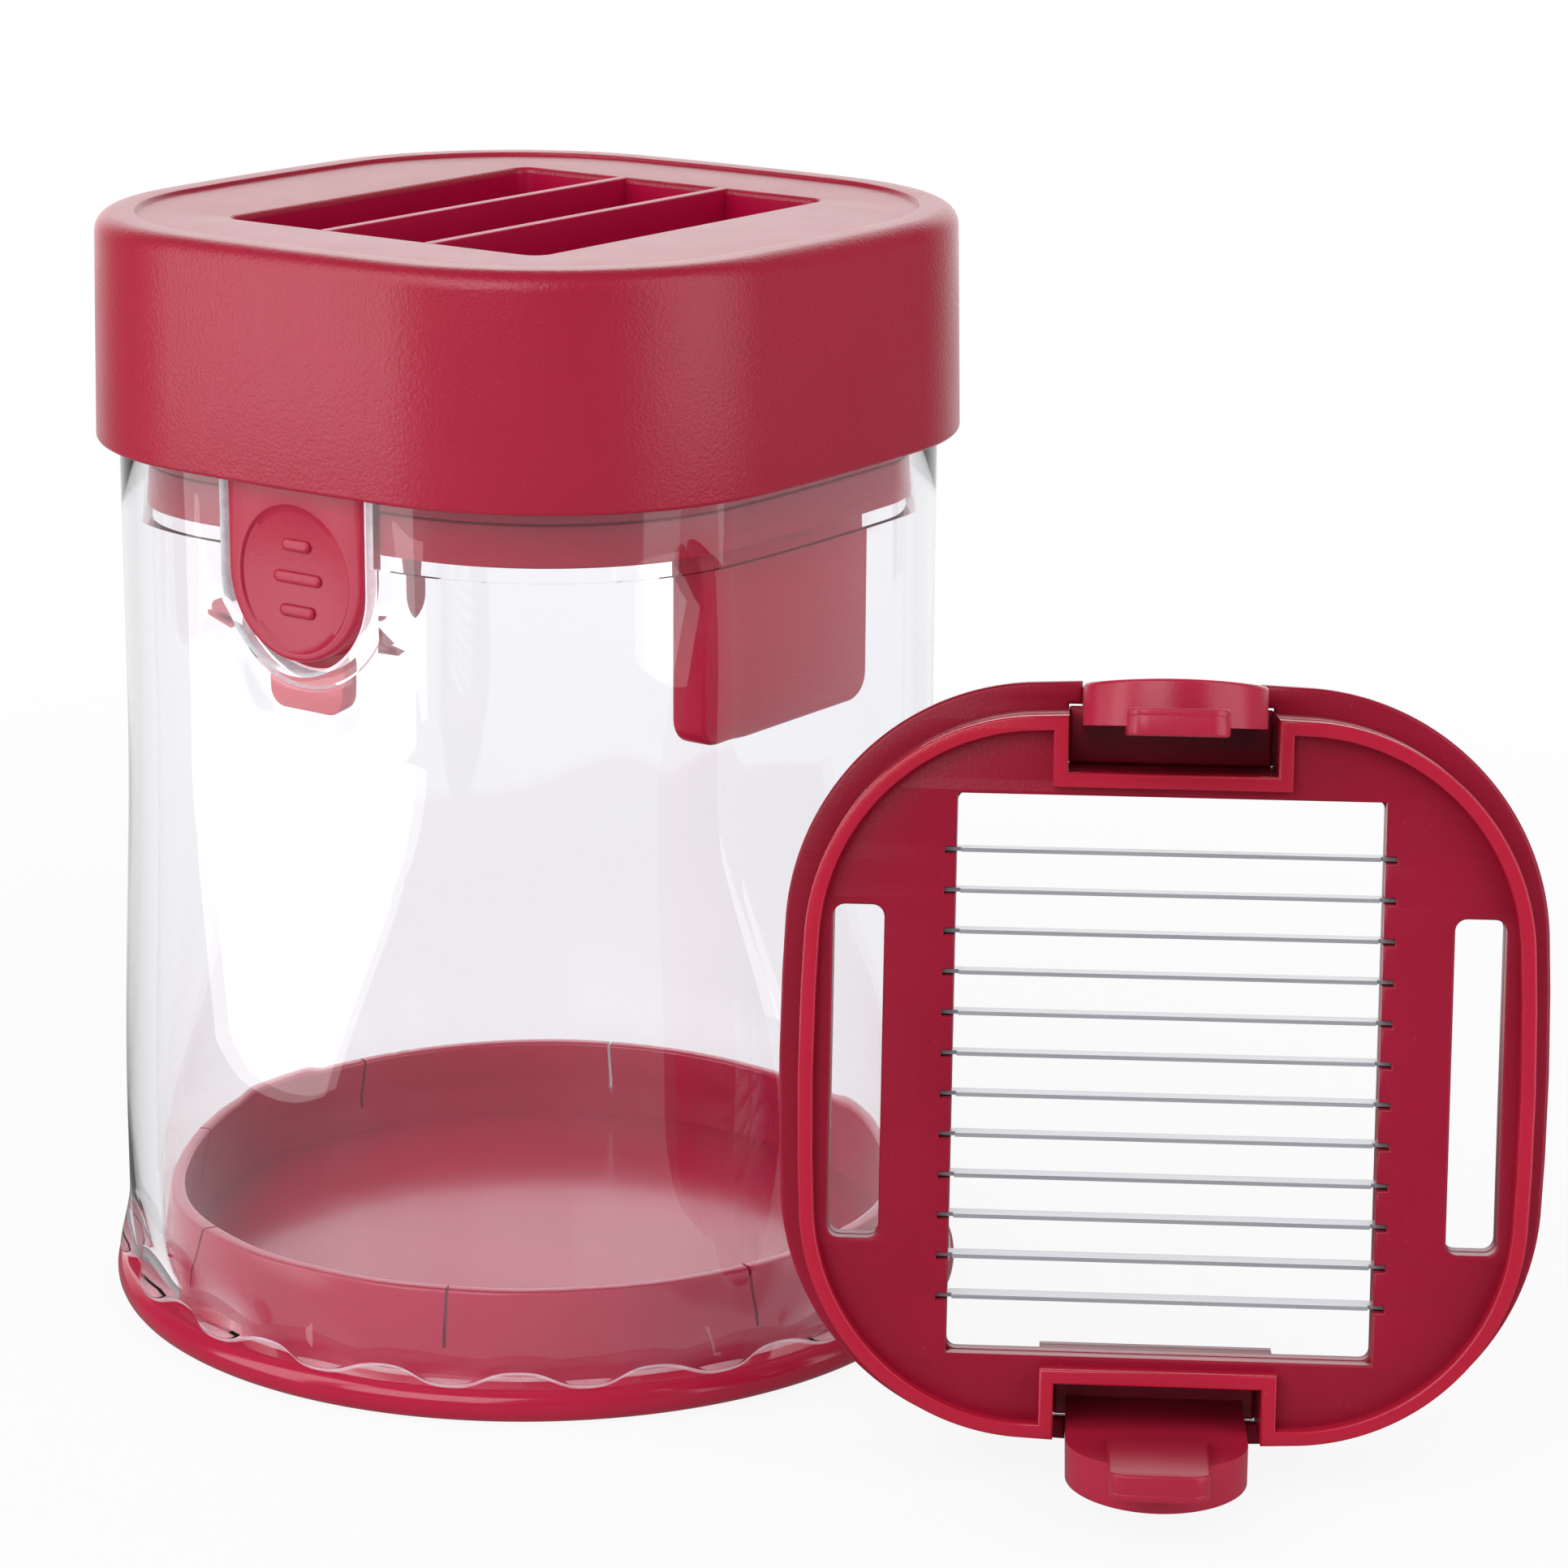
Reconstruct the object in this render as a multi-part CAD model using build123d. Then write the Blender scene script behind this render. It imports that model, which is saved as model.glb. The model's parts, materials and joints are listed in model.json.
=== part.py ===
from build123d import *
import math
import os

# A press-through vegetable chopper: a clear jar on a round base cap, a blade insert
# clipped into the jar's mouth, a press cap over it, and a spare blade insert that
# stands beside the jar.  Millimetres, +Z up, origin under the middle of the base.
# The cap's legs stand along X, the clips along Y, and the blades run along X.

# Plan of the mouth: the plug ring's outer face, a square with big round corners
plug_half = 45.7
plug_corner = 29.3
side_bow = 3.0

# Base cap
base_thickness = 4.5
base_overhang = 2.0
base_edge_round = 2.0
ring_radius = 52.6
ring_height = 11.6
ring_wall = 2.0
ring_lead = 1.4
ring_lead_height = 5.8
ring_slit_count = 8
ring_slit_turn = 25.6
ring_slit_width = 0.5
ring_slit_depth = 8.0

# Jar
jar_height = 123.5
jar_wall = 3.95
rim_wall = 2.7
mouth_clearance = 0.5
ring_clearance = 0.35
ledge_drop = 17.6
blend_top_drop = 42.0
blend_bottom = 21.5
blend_steps = 5
foot_flare = 1.7
flare_height = 9.0
foot_round = 1.2
lobe_count = 20
valley_radius = 4.0
valley_depth = 1.5
arch_height = 1.4
arch_half_width = 6.0
arch_skin = 2.6

# Notch for a clip in each side of the jar, and the catch under it
notch_depth = 32.4
notch_clearance = 0.8
catch_band = 2.3
catch_recess = 1.1
catch_height = 5.0
catch_clearance = 0.4
catch_side_play = 0.8

# Blade insert, measured from the flange's underside, which sits on the jar's rim
flange_overhang = 3.3
flange_thickness = 2.4
plug_depth = 15.8
plug_wall = 1.85
parting_drop = 10.3
plate_thickness = 3.0
window_x = 53.2
window_y = 70.6
window_corner = 1.2
slot_corner = 1.5
pocket_depth = 7.35
pocket_play = 2.0
pocket_reach = 0.45
gate_play = 0.35

# Blades
blade_count = 12
blade_pitch = 5.12
blade_height = 5.2
blade_thickness = 0.5
blade_edge = 0.12
blade_bevel = 1.3
tab_length = 3.2
tab_height = 3.0
tab_clearance = 0.05
blade_end_gap = 0.6
notch_mouth = 1.4
notch_mouth_width = 1.1

# Clips
pad_width = 21.9
pad_drop = 31.0
pad_crown = 0.6
pad_edge_round = 0.5
dish_radius = 42.0
dish_depth = 0.95
dish_drop = 19.8
ridge_lengths = (5.0, 8.2, 6.0)
ridge_pitch = 4.3
ridge_height = 1.5
ridge_proud = 0.45
arm_thickness = 2.6
web_gap = 0.25
web_side_gap = 0.3
tongue_width = 12.3
tongue_drop = 38.0
tongue_thickness = 2.6
tongue_rise = 11.0
tongue_corner = 2.5
barb_proud = 0.7
barb_lead = 1.0

# Press cap
cap_height = 30.0
skirt_drop = 8.0
skirt_wall = 2.3
cap_clearance = 0.6
top_thickness = 2.6
top_round = 2.6
ceiling_round = 2.0
panel_inset = 6.0
panel_depth = 0.5
chute_x = 51.9
chute_y = 62.0
chute_wall = 2.2
chute_corner = 2.0
rib_count = 2
rib_thickness = 1.8
rib_reach = 1.5
comb_width = 1.6
comb_clearance = 1.0
leg_centre = 38.6
leg_thickness = 4.6
leg_width = 35.5
leg_drop = 34.5
leg_corner = 3.5
leg_play = 0.9
leg_end_play = 3.3

# Spare blade insert beside the jar
spare_bearing = -58.0
spare_side = 86.0
spare_lean = 11.0
spare_gap = 0.5
spare_splay = 4.0
spare_start = 140.0
spare_passes = 5
jar_lift = 30.0

# How far a cut or a joined piece runs past a face
margin = 1.0

# Levels and sizes that follow
jar_half = plug_half + mouth_clearance + rim_wall
jar_corner = plug_corner + mouth_clearance + rim_wall
bore_radius = ring_radius + ring_clearance
jar_radius = bore_radius + jar_wall
foot_radius = jar_radius + foot_flare
base_radius = jar_radius + base_overhang
rim_z = base_thickness + jar_height
ledge_z = rim_z - ledge_drop
blend_top_z = rim_z - blend_top_drop
blend_bottom_z = base_thickness + blend_bottom
cap_inner_grow = flange_overhang + cap_clearance
cap_outer_grow = cap_inner_grow + skirt_wall
skirt_z = rim_z - skirt_drop
cap_top_z = skirt_z + cap_height
panel_z = cap_top_z - panel_depth
pocket_back = plug_half - pocket_depth
pocket_width = pad_width + 2 * pocket_play
pocket_front = plug_half + flange_overhang + margin
notch_width = pad_width + 2 * notch_clearance
slot_x = leg_thickness + 2 * leg_play
slot_y = leg_width + 2 * leg_end_play
plate_top = plate_thickness - parting_drop
plate_bottom = -parting_drop - plate_thickness
blade_ys = [blade_pitch * (i - (blade_count - 1) / 2) for i in range(blade_count)]


def block(x_low, x_high, y_low, y_high, z_low, z_high):
    """A box between two corners."""
    centre = Pos((x_low + x_high) / 2, (y_low + y_high) / 2, (z_low + z_high) / 2)
    return centre * Box(x_high - x_low, y_high - y_low, z_high - z_low)


def prism(face, z_low, z_high):
    """A plan raised between two levels."""
    return extrude(Pos(0, 0, z_low) * face, z_high - z_low)


def rounded_square(half, corner):
    """Four bowed sides and four corner arcs, all tangent; a circle when the two are equal."""
    bow = math.radians(side_bow)
    lean = math.cos(bow) - math.sin(bow)
    side = (half - corner * lean) / (1 - lean)
    diagonal = (side - corner) * math.sin(bow) * math.sqrt(2)
    edges = []
    for turn in (0, 90, 180, 270):
        side_centre = Vector(half - side, 0).rotate(Axis.Z, turn)
        corner_centre = Vector(diagonal, 0).rotate(Axis.Z, turn + 45)
        edges.append(CenterArc(side_centre, side, turn - side_bow, 2 * side_bow))
        edges.append(CenterArc(corner_centre, corner, turn + side_bow, 90 - 2 * side_bow))
    return Face(Wire(edges))


def plan(grow):
    """The plug ring's outline, grown or shrunk all round."""
    return rounded_square(plug_half + grow, plug_corner + grow)


def seen_from_front(y):
    """Drawing plane that faces -Y, with X to the right and Z up."""
    return Plane((0, y, 0), x_dir=(1, 0, 0), z_dir=(0, -1, 0))


def opposite_pair(solid):
    """A feature at one side, repeated half a turn round at the other."""
    return solid + Rot(0, 0, 180) * solid


def base_cap():
    """Round disc with an upright ring that plugs the jar's lower end."""
    disc = Cylinder(base_radius, base_thickness, align=(Align.CENTER, Align.CENTER, Align.MIN))
    disc = fillet(disc.edges().filter_by(GeomType.CIRCLE), base_edge_round)
    top = base_thickness + ring_height
    lead_start = top - ring_lead_height
    outer = ring_radius
    profile = Polyline(
        (outer - ring_wall, base_thickness - margin),
        (outer, base_thickness - margin),
        (outer, lead_start),
        (outer - ring_lead, top),
        (outer - ring_lead - ring_wall, top),
        (outer - ring_wall, lead_start),
        close=True,
    )
    ring = revolve(Plane.XZ * make_face(profile), Axis.Z)
    slit = block(outer - ring_lead - ring_wall - margin, outer + margin,
                 -ring_slit_width / 2, ring_slit_width / 2,
                 top - ring_slit_depth, top + margin)
    for i in range(ring_slit_count):
        ring -= Rot(0, 0, 360 * i / ring_slit_count + ring_slit_turn) * slit
    return disc + ring


def jar_blend(inset):
    """Loft from the square mouth's plan down to a circle."""
    sections = []
    for i in range(blend_steps + 1):
        t = i / blend_steps
        ease = t * t * (3 - 2 * t)
        half = jar_half + (jar_radius - jar_half) * ease - inset
        corner = jar_corner + (jar_radius - jar_corner) * ease - inset
        z = blend_top_z + (blend_bottom_z - blend_top_z) * t
        sections.append(Pos(0, 0, z) * rounded_square(half, corner))
    return loft(sections)


def jar_foot():
    """Lower end of the jar: a short cylinder that flares into a foot."""
    flare_top = base_thickness + flare_height
    flare_low = base_thickness + foot_round
    bottom = Line((0, base_thickness), (foot_radius - foot_round, base_thickness))
    toe = Spline(bottom @ 1, (foot_radius, flare_low), tangents=((1, 0), (0, 1)))
    flare = Spline(toe @ 1, (jar_radius, flare_top), tangents=((0, 1), (0, 1)))
    wall = Polyline(flare @ 1, (jar_radius, blend_bottom_z), (0, blend_bottom_z), (0, base_thickness))
    return revolve(Plane.XZ * make_face([bottom, toe, flare, wall]), Axis.Z)


def foot_valleys():
    """Grooves and arches between the lobes of the foot."""
    high = Vector(jar_radius + valley_radius, 0, base_thickness + flare_height + margin)
    low = Vector(foot_radius - valley_depth + valley_radius, 0, base_thickness - margin)
    run = high - low
    groove = Plane(low, z_dir=run) * Cylinder(
        valley_radius, run.length, align=(Align.CENTER, Align.CENTER, Align.MIN))
    arch_radius = (arch_half_width ** 2 + arch_height ** 2) / (2 * arch_height)
    arch_start = Vector(bore_radius + arch_skin, 0, base_thickness + arch_height - arch_radius)
    arch = Plane(arch_start, z_dir=(1, 0, 0)) * Cylinder(
        arch_radius, 2 * jar_wall, align=(Align.CENTER, Align.CENTER, Align.MIN))
    return [Rot(0, 0, 360 * i / lobe_count) * tool for i in range(lobe_count) for tool in (groove, arch)]


def notch_plan():
    """Front view of the clip's notch: straight sides, round lower end, open at the rim."""
    radius = notch_width / 2
    centre_z = rim_z - notch_depth + radius
    sides = Pos(0, (centre_z + rim_z + margin) / 2) * Rectangle(notch_width, rim_z + margin - centre_z)
    return sides + Pos(0, centre_z) * Circle(radius)


def catch_plan(band, width, height):
    """Front view below the notch, kept a band's width from the notch's round end."""
    radius = notch_width / 2 + band
    centre_z = notch_width / 2 - notch_depth
    top = centre_z - radius * math.cos(math.asin(min(1, width / 2 / radius)))
    bottom = -notch_depth - band - height
    strip = Pos(0, (top + bottom) / 2) * Rectangle(width, top - bottom)
    return strip - Pos(0, centre_z) * Circle(radius)


def jar():
    """Clear jar: round scalloped foot, square mouth with a ledge, and two clip notches."""
    outside = prism(rounded_square(jar_half, jar_corner), blend_top_z, rim_z)
    outside += jar_blend(0)
    outside += jar_foot()
    outside -= foot_valleys()
    inside = prism(rounded_square(jar_half - jar_wall, jar_corner - jar_wall), blend_top_z, ledge_z)
    inside += jar_blend(jar_wall)
    bore = Face(Wire(CenterArc((0, 0), bore_radius, 0, 360)))
    inside += prism(bore, base_thickness - margin, blend_bottom_z)
    shell = outside - inside
    shell -= prism(plan(mouth_clearance), ledge_z, rim_z + margin)
    shell -= extrude(Plane.XZ * notch_plan(), 2 * jar_half, both=True)
    recess_width = tongue_width + 2 * catch_side_play
    recess = Plane.XZ * (Pos(0, rim_z) * catch_plan(catch_band, recess_width, catch_height))
    shell -= extrude(recess, jar_half - jar_wall + catch_recess, both=True)
    return shell


def insert_block(z_low, z_high, hollow_low, hollow_high):
    """One layer of the insert: plug ring, plate with window and leg slots, clip pockets."""
    layer = prism(plan(0), z_low, z_high)
    hollow = prism(plan(-plug_wall), hollow_low, hollow_high)
    wall_half = pocket_width / 2 + plug_wall
    pocket_wall = block(-wall_half, wall_half, -pocket_front, plug_wall - pocket_back,
                        hollow_low - margin, hollow_high + margin)
    hollow -= opposite_pair(pocket_wall)
    return layer, hollow


def insert_cuts(z_low, z_high):
    """Window, leg slots and clip pockets, each with a gate in the flange that lets the pad through."""
    cuts = prism(RectangleRounded(window_x, window_y, window_corner), z_low, z_high)
    slot = Pos(leg_centre, 0, 0) * prism(RectangleRounded(slot_x, slot_y, slot_corner), z_low, z_high)
    pocket = block(-pocket_width / 2, pocket_width / 2, -plug_half - pocket_reach, -pocket_back,
                   z_low, z_high)
    gate_half = pad_width / 2 + gate_play
    pocket += block(-gate_half, gate_half, -pocket_front, -pocket_back, z_low, z_high)
    return [cuts, opposite_pair(slot), opposite_pair(pocket)]


def tab_pockets():
    """Seats for the ends of the blades, half in each layer of the insert."""
    reach = window_x / 2 + tab_length + tab_clearance
    half_width = blade_thickness / 2 + tab_clearance
    half_height = tab_height / 2 + tab_clearance
    return [block(-reach, reach, y - half_width, y + half_width,
                  -parting_drop - half_height, -parting_drop + half_height) for y in blade_ys]


def blade_retainer():
    """Upper layer of the insert: flange, upper plug ring and upper clamping plate."""
    layer, hollow = insert_block(-parting_drop, 0, plate_top, flange_thickness + margin)
    body = layer + prism(plan(flange_overhang), 0, flange_thickness) - hollow
    body -= insert_cuts(-parting_drop - margin, flange_thickness + margin)
    body -= tab_pockets()
    return body


def blade_frame():
    """Lower layer of the insert: lower plug ring and lower clamping plate."""
    layer, hollow = insert_block(-plug_depth, -parting_drop, -plug_depth - margin, plate_bottom)
    body = layer - hollow
    body -= insert_cuts(-plug_depth - margin, -parting_drop + margin)
    body -= tab_pockets()
    mouth = window_x / 2 + notch_mouth
    mouths = [block(-mouth, mouth, y - notch_mouth_width / 2, y + notch_mouth_width / 2,
                    plate_bottom - margin, -parting_drop + margin) for y in blade_ys]
    return body - mouths


def blade(y):
    """Steel blade, sharp along its upper edge, with a low tab at each end."""
    low = -parting_drop - blade_height / 2
    high = -parting_drop + blade_height / 2
    half = blade_thickness / 2
    profile = Polyline(
        (-half, low), (half, low), (half, high - blade_bevel),
        (blade_edge / 2, high), (-blade_edge / 2, high), (-half, high - blade_bevel),
        close=True,
    )
    length = window_x - 2 * blade_end_gap
    strip = extrude(Plane.YZ * make_face(profile), length / 2, both=True)
    tabs = Pos(0, 0, -parting_drop) * Box(window_x + 2 * tab_length, blade_thickness, tab_height)
    return Pos(0, y, 0) * (strip + tabs)


def clip():
    """Spring clip at the -Y side: web in the flange, thumb pad, arm and barbed tongue."""
    half = pad_width / 2
    face_y = -jar_half
    arm_y = -plug_half
    pad_centre = half - pad_drop
    straight = Rectangle(pad_width, flange_thickness - pad_centre)
    pad_plan = Pos(0, (pad_centre + flange_thickness) / 2) * straight + Pos(0, pad_centre) * Circle(half)
    arm_back = arm_y + arm_thickness
    stem = extrude(seen_from_front(arm_back) * pad_plan, arm_back - face_y)
    crown_radius = (half ** 2 + pad_crown ** 2) / (2 * pad_crown)
    crown = Pos(0, face_y + crown_radius, 0) * Cylinder(crown_radius, 4 * pad_drop)
    pad = stem & crown
    rim = pad.edges().filter_by_position(Axis.Y, face_y - margin, face_y + pad_crown + margin)
    rim = rim.filter_by(lambda e: e.center().Z < flange_thickness - margin)
    pad = fillet(rim, pad_edge_round)
    dish_y = face_y + dish_depth - dish_radius
    pad -= Pos(0, dish_y, -dish_drop) * Sphere(dish_radius)
    for row, length in enumerate(ridge_lengths):
        z = -dish_drop + ridge_pitch * (1 - row)
        ridge = seen_from_front(arm_y) * (Pos(0, z) * SlotOverall(length, ridge_height))
        reach = math.sqrt(dish_radius ** 2 - (z + dish_drop) ** 2)
        pad += extrude(ridge, arm_y - (dish_y + reach) + ridge_proud)
    web_half = pocket_width / 2 - web_side_gap
    web = block(-web_half, web_half, arm_y, -pocket_back - web_gap, 0, flange_thickness)
    inner_wall = jar_half - jar_wall
    neck_y = -inner_wall + catch_clearance
    tongue_top = tongue_rise - pad_drop
    tongue_plan = Pos(0, (tongue_top - tongue_drop) / 2) * Rectangle(tongue_width, tongue_top + tongue_drop)
    tongue_plan = fillet(tongue_plan.vertices().group_by(Axis.Y)[0], tongue_corner)
    tongue_back = neck_y + tongue_thickness
    tongue = extrude(seen_from_front(tongue_back) * tongue_plan, tongue_thickness)
    barb_plan = catch_plan(catch_band + catch_clearance, tongue_width,
                           tongue_drop - notch_depth - catch_band - catch_clearance)
    barb = extrude(seen_from_front(neck_y) * barb_plan, barb_proud + catch_clearance)
    barb = chamfer(barb.edges().group_by(Axis.Z)[0].sort_by(Axis.Y)[0], barb_lead)
    return pad + web + tongue + barb


def press_cap():
    """Cap with a skirt, a chute crossed by two comb ribs, and two guide legs."""
    outer = prism(plan(cap_outer_grow), skirt_z, cap_top_z)
    outer = fillet(outer.faces().sort_by(Axis.Z)[-1].edges(), top_round)
    ceiling_z = cap_top_z - top_thickness
    inner = prism(plan(cap_inner_grow), skirt_z - margin, ceiling_z)
    inner = fillet(inner.faces().sort_by(Axis.Z)[-1].edges(), ceiling_round)
    body = outer - inner
    body -= prism(plan(cap_outer_grow - panel_inset), panel_z, cap_top_z + margin)
    chute_z = rim_z + plate_top
    chute_plan = RectangleRounded(chute_x, chute_y, chute_corner)
    shaft = RectangleRounded(chute_x + 2 * chute_wall, chute_y + 2 * chute_wall, chute_corner + chute_wall)
    body += prism(shaft, chute_z, panel_z)
    body -= prism(chute_plan, chute_z - margin, cap_top_z + margin)
    rib_z = rim_z + plate_bottom - rib_reach
    comb_top = rim_z - parting_drop + blade_height / 2 + comb_clearance
    for i in range(rib_count):
        x = chute_x * ((i + 1) / (rib_count + 1) - 0.5)
        rib = block(x - rib_thickness / 2, x + rib_thickness / 2, -chute_y / 2, chute_y / 2, rib_z, panel_z)
        rib -= [block(x - rib_thickness, x + rib_thickness, y - comb_width / 2, y + comb_width / 2,
                      rib_z - margin, comb_top) for y in blade_ys]
        body += rib
    leg_z = skirt_z - leg_drop
    leg_plan = Pos(0, (leg_z + ceiling_z) / 2) * Rectangle(leg_width, ceiling_z - leg_z)
    leg_plan = fillet(leg_plan.vertices().group_by(Axis.Y)[0], leg_corner)
    leg = extrude(Plane.YZ * leg_plan, leg_thickness / 2, both=True)
    return body + opposite_pair(Pos(leg_centre, 0, 0) * leg)


def insert_pieces():
    """The blade insert's pieces by name, apart from its clips, in the insert's own frame."""
    pieces = {"blade_frame": blade_frame(), "blade_retainer": blade_retainer()}
    for i, y in enumerate(blade_ys):
        pieces[f"blade_{i + 1:02d}"] = blade(y)
    return pieces


def spare_place(stand_off, height):
    """Where the spare insert's frame lies: blades upright, underside turned away from the jar."""
    bearing = math.radians(spare_bearing)
    lean = math.radians(spare_lean)
    outward = Vector(math.cos(bearing), math.sin(bearing), 0)
    sideways = Vector(-math.sin(bearing), math.cos(bearing), 0)
    facing = outward * math.cos(lean) + Vector(0, 0, math.sin(lean))
    origin = outward * stand_off + sideways * spare_side + Vector(0, 0, height)
    return Plane(origin, x_dir=-sideways, z_dir=-facing).location


def lift_path(jar_at_rest):
    """The space that the jar takes up while it lifts off its base."""
    foot_path = Pos(0, 0, base_thickness) * Cylinder(
        foot_radius, flare_height + jar_lift, align=(Align.CENTER, Align.CENTER, Align.MIN))
    return [jar_at_rest, foot_path, Pos(0, 0, jar_lift) * jar_at_rest]


def rest_spare(pieces, neighbours):
    """Stand the spare insert on the floor and bring it up to the jar, clear by the gap."""
    stand_off = spare_start
    place = spare_place(stand_off, 0)
    height = -min((place * piece).bounding_box().min.Z for piece in pieces.values())
    outline = pieces["blade_retainer"]
    for _ in range(spare_passes):
        place = spare_place(stand_off, height)
        stand_off -= min((place * outline).distance_to(other) for other in neighbours) - spare_gap
    return spare_place(stand_off, height)


def main():
    os.makedirs("parts", exist_ok=True)
    nodes = {"base_cap": base_cap(), "jar": jar(), "press_cap": press_cap()}
    insert = insert_pieces()
    front_clip = clip()
    back_clip = Rot(0, 0, 180) * front_clip
    seat = Pos(0, 0, rim_z)
    for name, piece in insert.items():
        nodes[name] = seat * piece
    nodes["clip_front"] = seat * front_clip
    nodes["clip_back"] = seat * back_clip
    hinge = Axis((0, -pocket_back, 0), (1, 0, 0))
    free_clip = front_clip.rotate(hinge, -spare_splay)
    spare = dict(insert)
    spare["clip_lower"] = free_clip
    spare["clip_upper"] = Rot(0, 0, 180) * free_clip
    place = rest_spare(spare, [nodes["base_cap"]] + lift_path(nodes["jar"]))
    for name, piece in spare.items():
        nodes[f"spare_{name}"] = place * piece
    for name, shape in nodes.items():
        export_step(shape, f"parts/{name}.step")
    return nodes


main()
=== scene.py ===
import json
import math

import bmesh
import bpy
import numpy as np
from mathutils import Matrix, Quaternion, Vector


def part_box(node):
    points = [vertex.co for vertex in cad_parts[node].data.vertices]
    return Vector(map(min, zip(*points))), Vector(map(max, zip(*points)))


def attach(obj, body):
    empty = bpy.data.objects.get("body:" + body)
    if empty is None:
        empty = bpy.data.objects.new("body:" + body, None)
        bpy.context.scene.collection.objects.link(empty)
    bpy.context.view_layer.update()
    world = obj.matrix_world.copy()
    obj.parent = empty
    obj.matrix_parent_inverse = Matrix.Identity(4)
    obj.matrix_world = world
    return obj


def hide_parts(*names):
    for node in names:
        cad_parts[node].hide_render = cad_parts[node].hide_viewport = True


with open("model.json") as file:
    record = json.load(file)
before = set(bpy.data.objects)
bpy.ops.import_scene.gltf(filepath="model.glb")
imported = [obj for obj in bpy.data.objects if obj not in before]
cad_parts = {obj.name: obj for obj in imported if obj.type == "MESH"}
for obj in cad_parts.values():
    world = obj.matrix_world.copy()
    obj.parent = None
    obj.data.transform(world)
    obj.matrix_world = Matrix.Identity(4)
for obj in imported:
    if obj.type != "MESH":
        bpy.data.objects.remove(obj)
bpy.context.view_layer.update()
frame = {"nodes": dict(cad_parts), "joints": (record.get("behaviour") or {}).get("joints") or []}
nodes = frame["nodes"]
joints = {joint["name"]: joint for joint in frame["joints"]}

MM = 0.001

# Sizes and levels that the frame gives
base_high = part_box("base_cap")[1]
jar_low, jar_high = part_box("jar")
cap_low, cap_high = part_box("press_cap")
retainer_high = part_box("blade_retainer")[1]
plug_low, plug_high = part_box("blade_frame")
blade_names = [f"blade_{i:02d}" for i in range(1, 13)]
blade_boxes = [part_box(name) for name in blade_names]
blade_ys = [(low.y + high.y) / 2 for low, high in blade_boxes]
blade_top = blade_boxes[0][1].z
base_top = jar_low.z
rim_z = jar_high.z
cap_top = cap_high.z
parting_z = plug_high.z
flange_top = retainer_high.z
plug_bottom = plug_low.z
base_radius = base_high.x
ring_top = base_high.z
plug_half = plug_high.x
pocket_back = abs(joints["clip_front_squeeze"]["pos_m"][1])

# Plan of the mouth
plug_corner = 29.3 * MM
side_bow = math.radians(3)
flange_grow = retainer_high.x - plug_half
cap_grow = cap_high.x - plug_half
mouth_grow = 0.5 * MM
rim_wall = 2.7 * MM

# Sizes of the jar
jar_wall = 3.95 * MM
jar_half = plug_half + mouth_grow + rim_wall
jar_corner = plug_corner + mouth_grow + rim_wall
bore_radius = 52.95 * MM
jar_radius = bore_radius + jar_wall
ledge_z = rim_z - 17.6 * MM
blend_top = rim_z - 42 * MM
blend_bottom = base_top + 21.5 * MM
notch_radius = 11.75 * MM
notch_round = 0.55 * MM
notch_centre_z = rim_z - 32.4 * MM + notch_radius
jar_seat_gap = 0.06 * MM
bore_chamfer = 0.3 * MM
foot_flare = 1.65 * MM
flare_height = 9.5 * MM
lobe_count = 20
arch_rise = 1.5 * MM

# Sizes of the press cap
skirt_z = rim_z - 8 * MM
panel_z = cap_top - 0.5 * MM
ceiling_z = cap_top - 2.6 * MM
cap_wall = 2.3 * MM
chute_half = Vector((25.95 * MM, 31.0 * MM))
chute_wall = 2.2 * MM
chute_z = parting_z + 3 * MM
rib_x = 8.65 * MM
rib_thickness = 1.7 * MM
leg_centre = 38.6 * MM
leg_thickness = 4.6 * MM
leg_half_width = 17.75 * MM

# Sizes of a blade insert
plate_thickness = 3 * MM
plug_wall = 1.85 * MM
window_half = Vector((26.6 * MM, 35.3 * MM))
slot_half = Vector((3.2 * MM, 21.05 * MM))
pocket_half = 12.95 * MM
gate_half = 11.3 * MM
gate_y = plug_half + 0.17 * MM
blade_mouth = Vector((1.4 * MM, 0.8 * MM))

# Sizes of the base cap
ring_radius = 52.6 * MM
ring_wall = 2.0 * MM
ring_stretches = 8


class Look:
    """A value in a material: wraps a socket, and its arithmetic adds Math nodes."""

    def __init__(self, tree, socket=None):
        self.tree = tree
        self.socket = socket

    def make(self, kind, settings=None, inputs=None, output=0):
        """Adds any other node: its settings first, then the values or links of its sockets."""
        node = self.tree.nodes.new(kind)
        for name, value in (settings or {}).items():
            setattr(node, name, value)
        for key, value in (inputs or {}).items():
            if isinstance(value, Look):
                self.tree.links.new(value.socket, node.inputs[key])
            else:
                node.inputs[key].default_value = value
        return Look(self.tree, node.outputs[output] if node.outputs else None)

    def maths(self, operation, first, second):
        return self.make("ShaderNodeMath", {"operation": operation}, {0: first, 1: second})

    def __add__(self, other):
        return self.maths("ADD", self, other)

    def __radd__(self, other):
        return self.maths("ADD", other, self)

    def __sub__(self, other):
        return self.maths("SUBTRACT", self, other)

    def __rsub__(self, other):
        return self.maths("SUBTRACT", other, self)

    def __mul__(self, other):
        return self.maths("MULTIPLY", self, other)

    def __rmul__(self, other):
        return self.maths("MULTIPLY", other, self)


def noise(look, scale, detail=2.0, stretch=(1, 1, 1), roughness=0.5):
    """Noise in the object's own metres; stretch below 1 draws it out along an axis."""
    place = look.make("ShaderNodeTexCoord", output="Object")
    place = look.make("ShaderNodeMapping", inputs={"Vector": place, "Scale": stretch})
    return look.make("ShaderNodeTexNoise", inputs={
        "Vector": place, "Scale": scale, "Detail": detail, "Roughness": roughness})


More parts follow.
